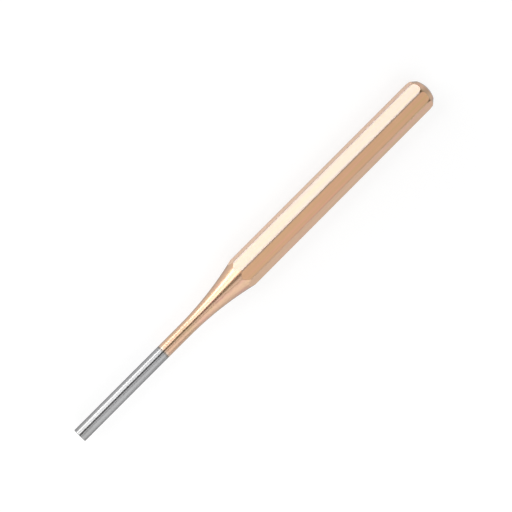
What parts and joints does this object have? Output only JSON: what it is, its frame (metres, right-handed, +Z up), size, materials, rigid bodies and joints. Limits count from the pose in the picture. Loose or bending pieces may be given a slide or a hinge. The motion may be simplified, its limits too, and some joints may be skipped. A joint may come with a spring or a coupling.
{
  "type": "pin punch",
  "caption": "Octagonal hand punch with a crowned striking head and a long concave neck down to a slim straight driving pin with a bare ground end.",
  "frame": {"origin": "on the ground, under the middle of the punch as it lies on one of its flats", "axes": "+X along the punch from its tip to its struck head, +Z up, square to the flat it lies on"},
  "size_m": [0.15, 0.0098, 0.0099],
  "materials": {
    "copper_lacquer": "gloss"
  },
  "bodies": {
    "root": {"pin_punch": "copper_lacquer"}
  },
  "joints": []
}
